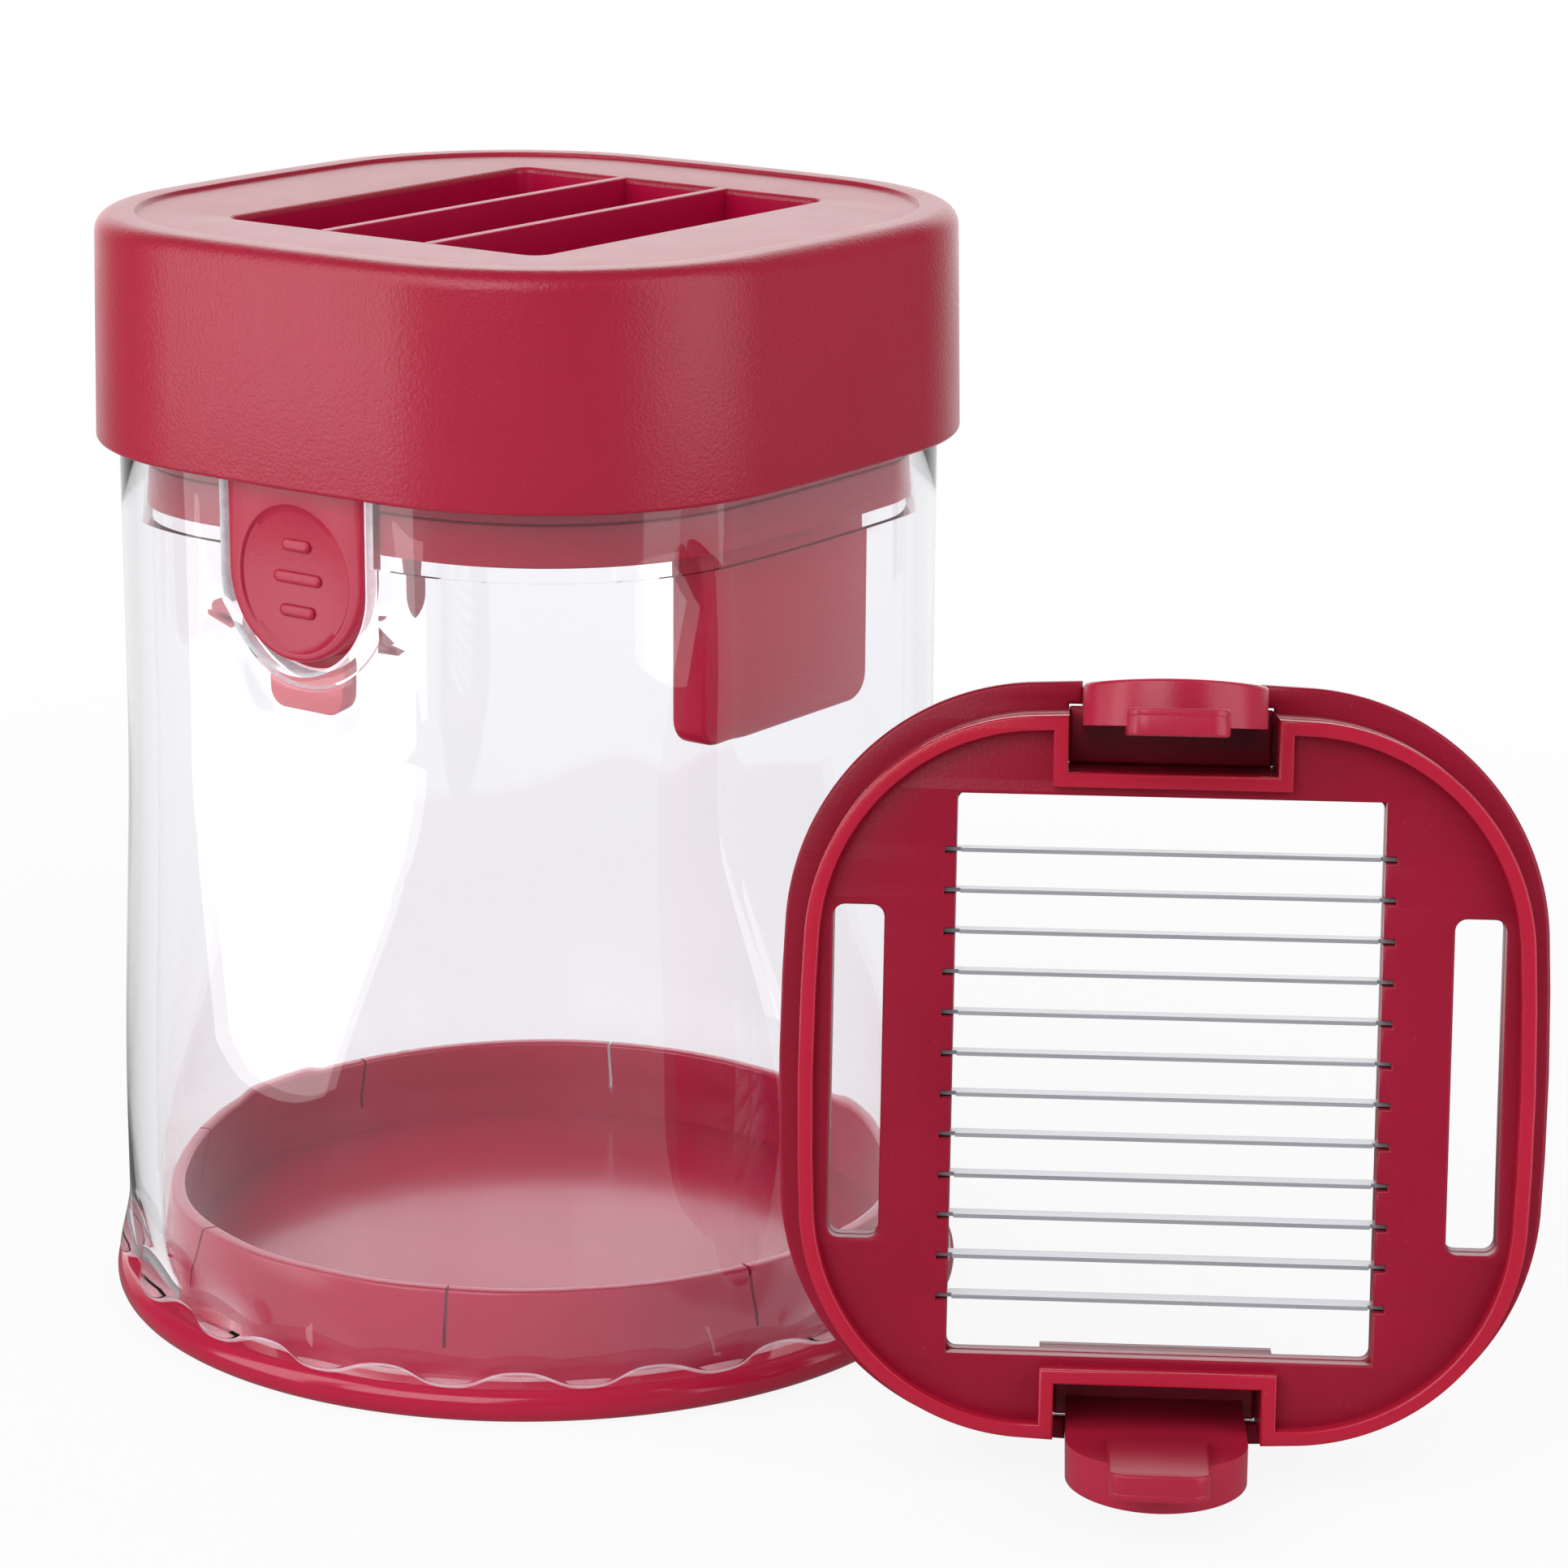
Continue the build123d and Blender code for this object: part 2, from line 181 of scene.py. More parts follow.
def between(look, value, low, high, new_low=0.0, new_high=1.0):
    """A value stretched from one range to another and held inside it."""
    return look.make("ShaderNodeMapRange", inputs={
        "Value": value, "From Min": low, "From Max": high, "To Min": new_low, "To Max": new_high})


def tint(look, share, first, second):
    """A colour that goes from the first to the second with the share."""
    first, second = (colour if isinstance(colour, Look) else (*colour, 1) for colour in (first, second))
    return look.make("ShaderNodeMix", {"data_type": "RGBA"}, {"Factor": share, 6: first, 7: second}, output=2)


def new_material(name):
    """A material with no nodes yet, and the value that its nodes grow from."""
    material = bpy.data.materials.new(name)
    material.use_nodes = True
    material.node_tree.nodes.clear()
    return material, Look(material.node_tree)


def finish_material(material, look, surface):
    """Joins the surface to the material's output."""
    look.make("ShaderNodeOutputMaterial", inputs={"Surface": surface})
    return material


def red_plastic(name, deep, bright, roughness, grain_scale, grain_depth, clear_coat=0.0, shine=0.5):
    """Moulded red plastic: slight colour drift, fine grain and a few paler flecks."""
    material, look = new_material(name)
    drift = between(look, noise(look, 26, detail=3), 0.35, 0.65)
    flecks = between(look, noise(look, 2400, detail=1), 0.77, 0.83)
    fleck_colour, fleck_strength = (0.75, 0.3, 0.33), 0.2
    colour = tint(look, flecks * fleck_strength, tint(look, drift, deep, bright), fleck_colour)
    grain = noise(look, grain_scale, roughness=0.6)
    bump = look.make("ShaderNodeBump", inputs={
        "Strength": 0.8, "Distance": grain_depth, "Height": grain})
    rough = between(look, noise(look, 140, detail=3), 0.3, 0.7, roughness - 0.012, roughness + 0.015)
    surface = look.make("ShaderNodeBsdfPrincipled", inputs={
        "Base Color": colour, "Roughness": rough, "Normal": bump, "IOR": 1.5, "Specular IOR Level": shine,
        "Coat Weight": clear_coat, "Coat Roughness": 0.06})
    return finish_material(material, look, surface)


def clear_plastic():
    """Clear moulded jar: faint cool tint, hairline scuffs and nearly polished faces."""
    material, look = new_material("clear_jar_plastic")
    scuffs = between(look, noise(look, 300, detail=4, stretch=(1, 1, 0.15)), 0.6, 0.85)
    rough = 0.01 + scuffs * 0.025
    ripple = look.make("ShaderNodeBump", inputs={
        "Strength": 0.04, "Distance": 0.4 * MM, "Height": noise(look, 45, detail=0)})
    surface = look.make("ShaderNodeBsdfPrincipled", inputs={
        "Base Color": (0.978, 0.973, 0.995, 1), "Roughness": rough, "Normal": ripple,
        "IOR": 1.49, "Specular IOR Level": 0.11, "Transmission Weight": 1.0})
    return finish_material(material, look, surface)


def clear_edge(name, see_through, painted_edge_light):
    """Cut edge of the jar's wall: partly see-through, with a pale frosted face that gives off painted light,
    emission that stands in for light carried along the clear wall.
    """
    material, look = new_material(name)
    frost = between(look, noise(look, 700, detail=3), 0.3, 0.7, see_through - 0.05, see_through + 0.05)
    # The pale face's emission is painted light: the clear wall's cut edge is made to shine, though no lamp is
    # there.
    pale = look.make("ShaderNodeBsdfPrincipled", inputs={
        "Base Color": (0.94, 0.92, 0.96, 1), "Roughness": 0.2, "IOR": 1.49,
        "Emission Color": (0.95, 0.93, 1, 1), "Emission Strength": painted_edge_light})
    open_ = look.make("ShaderNodeBsdfTransparent", inputs={"Color": (0.98, 0.97, 0.99, 1)})
    surface = look.make("ShaderNodeMixShader", inputs={0: frost, 1: pale, 2: open_})
    return finish_material(material, look, surface)


def blade_steel(name, bearing):
    """Ground steel strip with fine lines along the blade, which points along the bearing."""
    material, look = new_material(name)
    place = look.make("ShaderNodeTexCoord", output="Object")
    place = look.make("ShaderNodeMapping", inputs={"Vector": place, "Rotation": (0, 0, -bearing)})
    place = look.make("ShaderNodeMapping", inputs={"Vector": place, "Scale": (0.01, 1, 1)})
    lines = look.make("ShaderNodeTexNoise", inputs={"Vector": place, "Scale": 1600, "Detail": 2})
    spread = between(look, lines, 0.3, 0.7)
    bump = look.make("ShaderNodeBump", inputs={
        "Strength": 0.06, "Distance": 0.02 * MM, "Height": lines})
    surface = look.make("ShaderNodeBsdfPrincipled", inputs={
        "Base Color": tint(look, spread, (0.42, 0.43, 0.47), (0.5, 0.51, 0.55)), "Metallic": 0.4,
        "Roughness": between(look, spread, 0, 1, 0.26, 0.34), "Normal": bump})
    return finish_material(material, look, surface)


cap_red = red_plastic("satin_cap_red", (0.38, 0.008, 0.032), (0.41, 0.01, 0.04),
                      roughness=0.31, grain_scale=2100, grain_depth=0.1 * MM)
base_red = red_plastic("glossy_base_red", (0.45, 0.01, 0.044), (0.51, 0.014, 0.054),
                       roughness=0.16, grain_scale=500, grain_depth=0.01 * MM, clear_coat=0.2)
# A darker, more purple copy of the base's red for the plug ring and the floor inside the jar: painted shade
# for the jar's shadow and its grey veil.
ring_painted_shade_red = red_plastic("base_ring_painted_shade_red", (0.33, 0.01, 0.04), (0.37, 0.013, 0.05),
                       roughness=0.2, grain_scale=500, grain_depth=0.01 * MM, clear_coat=0.1, shine=0.4)
# The inserts' own red, made darker in part as painted shade for the cap's shadow on the plug ring inside the
# jar; the spare insert takes the same red.
insert_red = red_plastic("insert_red", (0.285, 0.004, 0.024), (0.335, 0.006, 0.032),
                         roughness=0.3, grain_scale=2200, grain_depth=0.035 * MM, shine=0.3)
clip_red = red_plastic("clip_red", (0.41, 0.011, 0.042), (0.47, 0.015, 0.05),
                       roughness=0.3, grain_scale=2600, grain_depth=0.03 * MM)
chute_red = red_plastic("chute_red", (0.43, 0.003, 0.042), (0.47, 0.004, 0.05),
                        roughness=0.3, grain_scale=2600, grain_depth=0.02 * MM, shine=0.2)
leg_red = red_plastic("leg_red", (0.35, 0.005, 0.03), (0.4, 0.008, 0.038),
                      roughness=0.3, grain_scale=2200, grain_depth=0.03 * MM, shine=0.22)
# A paler, pinker copy of the clip's red for the seated clips' tongues and barbs, seen through the jar:
# painted haze of light over them.
tongue_painted_haze_red = red_plastic("tongue_painted_haze_red", (0.45, 0.035, 0.06), (0.5, 0.045, 0.075),
                         roughness=0.3, grain_scale=2200, grain_depth=0.03 * MM, shine=0.35)
# A brighter copy of the insert's red for the spare's plug ring: painted light for the light that its rounded
# lower edge catches.
rim_painted_light_red = red_plastic("spare_rim_painted_light_red", (0.45, 0.008, 0.032), (0.5, 0.011, 0.04),
                      roughness=0.22, grain_scale=2200, grain_depth=0.03 * MM)
jar_clear = clear_plastic()
# The foot's toe and the notches' cut walls take these materials with painted light.
toe_edge = clear_edge("clear_foot_painted_light_edge", see_through=0.76, painted_edge_light=0.15)
notch_edge = clear_edge("clear_notch_painted_light_edge", see_through=0.6, painted_edge_light=0.6)
spare_axis = joints["spare_clip_lower_squeeze"]["axis"]
steel = blade_steel("ground_blade_steel", 0)
spare_steel = blade_steel("ground_spare_steel", math.atan2(spare_axis[1], spare_axis[0]))


def show(name, verts, faces, material, body, stands_for=(), sharp=35, others=(), pick=None):
    """Makes a piece from points and faces, smooth but for its sharp edges, and lets it ride on a body.

    Where other materials are given, pick says by face number which of them a face takes."""
    mesh = bpy.data.meshes.new(name)
    mesh.from_pydata([tuple(v) for v in verts], [], [tuple(int(i) for i in f) for f in faces])
    if others:
        mesh.polygons.foreach_set("material_index", [pick(i) for i in range(len(faces))])
    whole = bmesh.new()
    whole.from_mesh(mesh)
    bmesh.ops.remove_doubles(whole, verts=whole.verts, dist=0.004 * MM)
    bmesh.ops.recalc_face_normals(whole, faces=whole.faces)
    whole.to_mesh(mesh)
    whole.free()
    mesh.shade_smooth()
    mesh.set_sharp_from_angle(angle=math.radians(sharp))
    for finish in (material, *others):
        mesh.materials.append(finish)
    piece = bpy.data.objects.new(name, mesh)
    bpy.context.scene.collection.objects.link(piece)
    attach(piece, body)
    if stands_for:
        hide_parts(*stands_for)
    return piece


def ease(share):
    """A share from 0 to 1, held inside and smoothed at both ends."""
    share = np.clip(share, 0, 1)
    return share * share * (3 - 2 * share)


def side_radius(half, corner):
    """Radius of the bowed sides of a square with round corners."""
    lean = math.cos(side_bow) - math.sin(side_bow)
    return (half - corner * lean) / (1 - lean)


def plan_ring(half, corner, turns, z):
    """A bowed square with round corners at one level: one point for each outward direction."""
    side = side_radius(half, corner)
    corner_far = (side - corner) * math.sin(side_bow) * math.sqrt(2)
    quarter = np.round(turns / (math.pi / 2)) * (math.pi / 2)
    off = turns - quarter
    on_side = np.abs(off) <= side_bow
    centre_turn = np.where(on_side, quarter, quarter + np.sign(off) * math.pi / 4)
    centre_far = np.where(on_side, half - side, corner_far)
    radius = np.where(on_side, side, corner)
    x = centre_far * np.cos(centre_turn) + radius * np.cos(turns)
    y = centre_far * np.sin(centre_turn) + radius * np.sin(turns)
    return np.column_stack([x, y, np.broadcast_to(z, x.shape)])


def mouth_ring(grow, turns, z):
    """The mouth's plan, grown or shrunk all round, at one level."""
    return plan_ring(plug_half + grow, plug_corner + grow, turns, z)


def circle_ring(radius, turns, z):
    """A circle, or a wavy line round it, with one point for each outward direction."""
    x = radius * np.cos(turns)
    return np.column_stack([x, radius * np.sin(turns), np.broadcast_to(z, x.shape)])


def quarter_round(radius, steps, start_turn):
    """Offsets along a quarter of a circle, as pairs (across, up), from its centre."""
    turns = math.radians(start_turn) + np.linspace(0, math.pi / 2, steps + 1)
    return [(radius * math.cos(t), radius * math.sin(t)) for t in turns]


def ring_faces(row_count, column_count, close_rows, keep=None):
    """Quads between rows of points that go round; keep says which stay, by row and column."""
    faces = []
    for row in range(row_count if close_rows else row_count - 1):
        for column in range(column_count):
            if keep is None or keep(row, column):
                after = (column + 1) % column_count
                above = (row + 1) % row_count
                faces.append((row * column_count + column, row * column_count + after,
                              above * column_count + after, above * column_count + column))
    return faces


# Jar

jar_columns = 320
notch_columns = 20
foot_edge_rows = 8
jar_index = np.arange(jar_columns)


def jar_turns():
    """Outward directions of the jar's columns: for the square mouth and for the round foot."""
    quarter = jar_columns // 4
    side = side_radius(jar_half, jar_corner)
    quarter_steps = np.arange(notch_columns + 1) / notch_columns * (math.pi / 2)
    swing = np.arcsin((notch_radius + notch_round) * np.sin(quarter_steps) / side)
    rest = np.linspace(swing[-1], math.pi / 2, quarter - notch_columns + 1)[1:]
    first = np.concatenate([swing, rest])
    half_turn = np.concatenate([first, math.pi - first[-2:0:-1]])
    square = np.concatenate([half_turn, half_turn + math.pi]) - math.pi / 2
    round_ = 2 * math.pi * jar_index / jar_columns - math.pi / 2
    return square, round_


square_turns, round_turns = jar_turns()


def from_notch(column):
    """How many columns a column lies from the middle of the nearer notch."""
    half = jar_columns // 2
    return (column + half // 2) % half - half // 2


notch_steps = np.array([from_notch(c) for c in jar_index])
in_notch = np.abs(notch_steps) <= notch_columns


def below_notch(distance):
    """Height of a line on the wall that keeps this distance from the notch's edge."""
    edge = notch_radius + notch_round
    swing = np.clip(np.abs(notch_steps) / notch_columns, 0, 1) * math.pi / 2
    return notch_centre_z - np.sqrt((edge + distance) ** 2 - (edge * np.sin(swing)) ** 2)


def jar_blend_rows(inset, count):
    """Rows of the wall from the round foot up to the square mouth."""
    rows = []
    for step in range(count + 1):
        t = 1 - step / count
        rounder = ease(t)
        half = jar_half + (jar_radius - jar_half) * rounder - inset
        corner = jar_corner + (jar_radius - jar_corner) * rounder - inset
        turns = square_turns + (round_turns - square_turns) * rounder
        rows.append(plan_ring(half, corner, turns, blend_top + (blend_bottom - blend_top) * t))
    return rows


def foot_rows():
    """Rows of the wavy foot, from the bore under the jar to the plain wall above the flare."""
    fullness = 0.6
    trough = 0.12
    flare_steps = 8
    lobe = 0.5 - 0.5 * np.cos(lobe_count * (round_turns + math.pi / 2))
    lobe = ease(lobe) * fullness + lobe * (1 - fullness)
    seat = base_top + jar_seat_gap
    edge_z = seat + arch_rise * (1 - lobe)
    toe = 1.1 * MM
    sole = 1.9 * MM
    sole_slope = 0.4 * MM
    sole_lift = 0.35
    sole_edge = 2.5 * MM

    def outside(height):
        return jar_radius + foot_flare * ease(1 - height / flare_height) * (trough + (1 - trough) * lobe)

    rows = [circle_ring(bore_radius + bore_chamfer, round_turns, seat),
            circle_ring(bore_radius + sole, round_turns, seat),
            circle_ring(bore_radius + sole + sole_slope, round_turns, seat + (edge_z - seat) * sole_lift),
            circle_ring(bore_radius + sole_edge, round_turns, edge_z)]
    for across, up in quarter_round(toe, 5, -90):
        rows.append(circle_ring(outside(toe + up) - toe + across, round_turns, edge_z + toe + up))
    start = rows[-1][:, 2]
    for share in np.linspace(0, 1, flare_steps + 1)[1:]:
        z = start + (base_top + flare_height - start) * share
        rows.append(circle_ring(outside(z - base_top), round_turns, z))
    return rows


def catch_recess(row, distance):
    """Sinks the part of an inner row that lies behind the clip's tongue into the wall."""
    depth, start, end = 0.8 * MM, 1.6 * MM, 9.8 * MM
    half_width = 16.5 * MM
    side_slope, lower_slope = 10 * MM, 7 * MM
    if distance > start:
        sideways = ease((half_width - np.abs(row[:, 0])) / side_slope)
        row[:, 1] += np.sign(row[:, 1]) * depth * sideways * ease((end - distance) / lower_slope)
    return row


def build_jar():
    """The clear jar as one closed wall, with a notch at the front and at the back."""
    def straight(inset, z):
        return plan_ring(jar_half - inset, jar_corner - inset, square_turns, z)

    blend_steps = 16
    outer_distances_mm = (6.5, 4.2, 2.2, 0.9)
    inner_distances_mm = (0.7, 1.5, 1.85, 2.6, 3.5, 4.5, 5.5, 6.5, 7.5, 8.5, 9.2, 9.8)
    ledge_line = 0.25 * MM
    ledge_slope = 0.15 * MM
    bore_line = 6 * MM
    rim_round = 0.9 * MM
    rows = foot_rows()
    rows += jar_blend_rows(0, blend_steps)
    rows += [straight(0, below_notch(distance * MM)) for distance in outer_distances_mm]
    outer_edge = len(rows)
    rows += [straight(0, below_notch(0))]
    rows += [straight(0, ledge_z - ledge_line), straight(0, ledge_z + ledge_line)]
    rim_top = rim_z - jar_seat_gap
    rim_rows = [straight(rim_round - across, rim_top - rim_round + up)
                for across, up in quarter_round(rim_round, 4, 0)]
    rim_rows += [straight(rim_wall - rim_round + across, rim_top - rim_round + up)
                 for across, up in reversed(quarter_round(rim_round, 4, 0))]
    outer_rim = len(rows)
    rows += rim_rows
    inner_rim = len(rows) - 1
    rows += [straight(rim_wall, ledge_z), straight(jar_wall, ledge_z - ledge_slope)]
    inner_edge = len(rows)
    rows += [straight(jar_wall, below_notch(0))]
    for distance in inner_distances_mm:
        rows.append(catch_recess(straight(jar_wall, below_notch(distance * MM)), distance * MM))
    rows += reversed(jar_blend_rows(jar_wall, blend_steps))
    rows.append(circle_ring(bore_radius, round_turns, base_top + bore_line))
    rows.append(circle_ring(bore_radius, round_turns, base_top + jar_seat_gap + bore_chamfer))

    def keep(row, column):
        both = in_notch[column] and in_notch[(column + 1) % jar_columns]
        return not (both and outer_edge <= row < inner_edge)

    verts = np.concatenate(rows)
    faces = ring_faces(len(rows), jar_columns, True, keep)
    wall_faces = len(faces)
    outer_path = [outer_rim, outer_edge + 2, outer_edge + 1]
    inner_path = [inner_rim, inner_rim + 1, inner_rim + 2]
    for middle, inward in ((0, 1), (jar_columns // 2, -1)):
        verts, faces = notch_wall(verts, faces, middle, inward, outer_path, inner_path,
                                  outer_edge, inner_edge, range(outer_rim, inner_rim + 1))
    toe_faces = foot_edge_rows * jar_columns

    def finish(face):
        """0 for the clear wall, 1 for the foot's edge and 2 for the notches' edges; both edges give off
        painted light.
        """
        if face < toe_faces:
            return 1
        return 2 if face >= wall_faces else 0

    jar = show("clear_jar", verts, faces, jar_clear, "jar", ["jar"], sharp=40,
               others=(toe_edge, notch_edge), pick=finish)
    jar.visible_shadow = False


def notch_wall(verts, faces, middle, inward, outer_path, inner_path, outer_edge, inner_edge, rim_rows):
    """Closes one notch with a wall whose two edges are rounded."""
    left = (middle - notch_columns) % jar_columns
    right = middle + notch_columns
    across = [(middle + k) % jar_columns for k in range(-notch_columns, notch_columns + 1)]

    def path(side_rows, edge_row):
        down = [row * jar_columns + left for row in side_rows]
        round_end = [edge_row * jar_columns + column for column in across]
        return down + round_end + [row * jar_columns + right for row in reversed(side_rows)]

    outer = path(outer_path, outer_edge)
    inner = path(inner_path, inner_edge)
    points = verts[outer]
    toward = np.zeros((len(outer), 3))
    below = points[:, 2] <= notch_centre_z + 1e-6
    toward[:, 0] = -np.sign(points[:, 0])
    centre = np.array([0, 0, notch_centre_z])
    radial = (centre - points) * np.array([1, 0, 1])
    radial /= np.maximum(np.linalg.norm(radial, axis=1, keepdims=True), 1e-9)
    toward[below] = radial[below]
    depth = np.array([0, inward, 0])
    rings = [outer]
    turns = np.linspace(0, math.pi / 2, 5)[1:]
    arc = [(notch_round * math.sin(t), notch_round * (1 - math.cos(t))) for t in turns]
    edge_steps = [(outer, aside, deep) for aside, deep in arc]
    edge_steps += [(inner, aside, -deep) for aside, deep in reversed(arc)]
    for start, aside, deep in edge_steps:
        first = len(verts)
        verts = np.concatenate([verts, verts[start] + toward * aside + depth * deep])
        rings.append(list(range(first, first + len(outer))))
    rings.append(inner)
    for ring, following in zip(rings, rings[1:]):
        for k in range(len(outer) - 1):
            faces.append((ring[k], ring[k + 1], following[k + 1], following[k]))
    for end, column in ((0, left), (-1, right)):
        rim = [row * jar_columns + column for row in reversed(rim_rows)]
        faces.append(tuple([ring[end] for ring in rings] + rim[1:-1]))
    return verts, faces


build_jar()


# Press cap

cap_columns = 240
cap_turns = 2 * math.pi * np.arange(cap_columns) / cap_columns


def window_ring(grow, z):
    """The chute's rectangle with round corners, with as many points as the cap's other rings."""
    corner = 2.0 * MM
    quarter = cap_columns // 4
    bend = quarter // 5
    run = (quarter - bend) // 2
    hx, hy = chute_half.x + grow, chute_half.y + grow
    r = corner + max(grow, 0)
    points = [(hx, (hy - r) * k / run) for k in range(run)]
    for k in range(bend):
        turn = math.pi / 2 * k / bend
        points.append((hx - r + r * math.cos(turn), hy - r + r * math.sin(turn)))
    points += [((hx - r) * (1 - k / (quarter - bend - run)), hy) for k in range(quarter - bend - run)]
    first = np.array(points)
    second = first[1:][::-1] * np.array([-1, 1])
    upper = np.concatenate([first, [[0, hy]], second])
    lower = -upper
    return np.column_stack([np.concatenate([upper, lower]), np.full(cap_columns, z)])


def build_cap():
    """The press cap's shell: skirt, rounded top with a sunk panel, and the chute."""
    inner_grow = cap_grow - cap_wall
    lip = 0.55 * MM
    top_round = 2.6 * MM
    draft = 0.6 * MM
    step = 0.25 * MM
    brim = 6.0 * MM
    soft = 0.8 * MM
    chute_edge = 0.3 * MM
    chute_fillet = 0.6 * MM
    ceiling_round = 2 * MM
    skirt_edge = 0.4 * MM
    rows = [mouth_ring(cap_grow - lip + across, cap_turns, skirt_z + lip + up)
            for across, up in quarter_round(lip, 4, -90)]
    rows += [mouth_ring(cap_grow - draft - top_round + across, cap_turns, cap_top - top_round + up)
             for across, up in quarter_round(top_round, 12, 0)]
    rows += [mouth_ring(cap_grow - brim + step + across, cap_turns, cap_top - step + up)
             for across, up in quarter_round(step, 3, 90)]
    rows += [mouth_ring(cap_grow - brim - step, cap_turns, panel_z)]
    rows += [window_ring(soft + across, panel_z - soft + up)
             for across, up in quarter_round(soft, 5, 90)]
    chute_row = len(rows) - 1
    rows += [window_ring(chute_edge, chute_z + chute_edge), window_ring(2 * chute_edge, chute_z)]
    rows += [window_ring(chute_wall - chute_edge, chute_z), window_ring(chute_wall, chute_z + chute_edge)]
    rows += [window_ring(chute_wall, ceiling_z - chute_fillet),
             window_ring(chute_wall + chute_fillet, ceiling_z)]
    rows += [mouth_ring(inner_grow - ceiling_round + across, cap_turns, ceiling_z - ceiling_round + up)
             for across, up in reversed(quarter_round(ceiling_round, 4, 0))]
    rows += [mouth_ring(inner_grow, cap_turns, skirt_z + skirt_edge),
             mouth_ring(inner_grow + skirt_edge, cap_turns, skirt_z)]
    faces = ring_faces(len(rows), cap_columns, True)
    chute_faces = range(chute_row * cap_columns, (chute_row + 3) * cap_columns)
    show("press_cap_shell", np.concatenate(rows), faces, cap_red, "press_cap", ["press_cap"],
         sharp=40, others=(chute_red,), pick=lambda face: int(face in chute_faces))


build_cap()


def slab(name, outlines, low, high, edge_round, material, body, plane="XY", stands_for=(),
         across=0.0):
    """A flat piece cut from outlines, with holes, whose long edges are rounded.

    The outlines lie in XY, in YZ for a piece that stands across X at the place given, or in XZ."""
    curve = bpy.data.curves.new(name, "CURVE")
    curve.dimensions = "2D"
    curve.fill_mode = "BOTH"
    curve.extrude = (high - low) / 2 - edge_round
    curve.bevel_depth = edge_round
    curve.bevel_resolution = 2
    curve.offset = -edge_round
    for outline in outlines:
        spline = curve.splines.new("POLY")
        spline.points.add(len(outline) - 1)
        for point, (u, v) in zip(spline.points, outline):
            point.co = (u, v, 0, 1)
        spline.use_cyclic_u = True
    holder = bpy.data.objects.new(name, curve)
    bpy.context.scene.collection.objects.link(holder)
    mesh = bpy.data.meshes.new_from_object(holder.evaluated_get(bpy.context.evaluated_depsgraph_get()))
    bpy.data.objects.remove(holder)
    verts = np.array([v.co for v in mesh.vertices])
    faces = [tuple(p.vertices) for p in mesh.polygons]
    verts[:, 2] += (low + high) / 2
    if plane == "YZ":
        verts = verts[:, [2, 0, 1]]
        verts[:, 0] += across
    if plane == "XZ":
        verts = verts[:, [0, 2, 1]]
    bpy.data.meshes.remove(mesh)
    return show(name, verts, faces, material, body, stands_for)


def rounded_rectangle(half_x, half_y, corner, centre=(0, 0), steps=6):
    """Outline of a rectangle with round corners."""
    points = []
    for sx, sy, start in ((1, 1, 0), (-1, 1, 90), (-1, -1, 180), (1, -1, 270)):
        middle_x = centre[0] + sx * (half_x - corner)
        middle_y = centre[1] + sy * (half_y - corner)
        points += [(middle_x + across, middle_y + up) for across, up in quarter_round(corner, steps, start)]
    return points


def round_foot(half, low, corner):
    """The lower end of a tab's outline, from left to right, with two round corners."""
    points = []
    for middle, start in ((corner - half, 180), (half - corner, 270)):
        points += [(middle + across, low + corner + up) for across, up in quarter_round(corner, 6, start)]
    return points


def build_ribs():
    """Two ribs across the chute, with a comb below that passes between the blades."""
    wall_bite = 0.6 * MM
    tooth_reach = 1.5 * MM
    blade_clearance = 1.0 * MM
    half_gap = 0.8 * MM
    reach = chute_half.y + wall_bite
    comb_low = parting_z - plate_thickness - tooth_reach
    comb_top = blade_top + blade_clearance
    edge_round = 0.22 * MM
    outline = [(-reach, panel_z), (-reach, comb_low)]
    for y in blade_ys:
        outline += [(y - half_gap, comb_low), (y - half_gap, comb_top), (y + half_gap, comb_top),
                    (y + half_gap, comb_low)]
    outline += [(reach, comb_low), (reach, panel_z)]
    for side, x in (("left", -rib_x), ("right", rib_x)):
        slab(f"chute_rib_{side}", [outline], -rib_thickness / 2, rib_thickness / 2, edge_round,
             chute_red, "press_cap", "YZ", across=x)


def build_legs():
    """Two guide legs that reach down into the jar."""
    corner = 3.5 * MM
    edge_round = 0.7 * MM
    root_z = ceiling_z + 0.5 * MM
    outline = [(-leg_half_width, root_z)]
    outline += round_foot(leg_half_width, cap_low.z, corner)
    outline += [(leg_half_width, root_z)]
    for side, x in (("left", -leg_centre), ("right", leg_centre)):
        slab(f"guide_leg_{side}", [outline], -leg_thickness / 2, leg_thickness / 2, edge_round,
             leg_red, "press_cap", "YZ", across=x)


build_ribs()
build_legs()


# Base cap

base_columns = 320


def build_base():
    """Glossy base disc: full-round edge, hollow underside, and a floor in the ring's darker red of painted
    shade.
    """
    turns = 2 * math.pi * np.arange(base_columns) / base_columns
    half_flat = 0.2 * MM
    edge = base_top / 2 - half_flat
    hub = 0.5 * MM
    hollow = 0.4 * MM
    standing_edge = base_radius - edge - 2.4 * MM
    hollow_edge = standing_edge - 0.6 * MM
    rows = [circle_ring(hub, turns, hollow), circle_ring(hollow_edge, turns, hollow),
            circle_ring(standing_edge, turns, 0)]
    rows += [circle_ring(base_radius - edge + across, turns, edge + up)
             for across, up in quarter_round(edge, 6, -90)]
    rows += [circle_ring(base_radius - edge + across, turns, base_top - edge + up)
             for across, up in quarter_round(edge, 6, 0)]
    rows += [circle_ring(ring_radius - ring_wall / 2, turns, base_top), circle_ring(hub, turns, base_top)]
    faces = [tuple(range(base_columns))] + ring_faces(len(rows), base_columns, False)
    last = (len(rows) - 1) * base_columns
    faces.append(tuple(range(last, last + base_columns)))
    inside = last - base_columns
    show("base_disc", np.concatenate(rows), faces, base_red, "base", ["base_cap"],
         others=(ring_painted_shade_red,), pick=lambda face: int(face > inside))


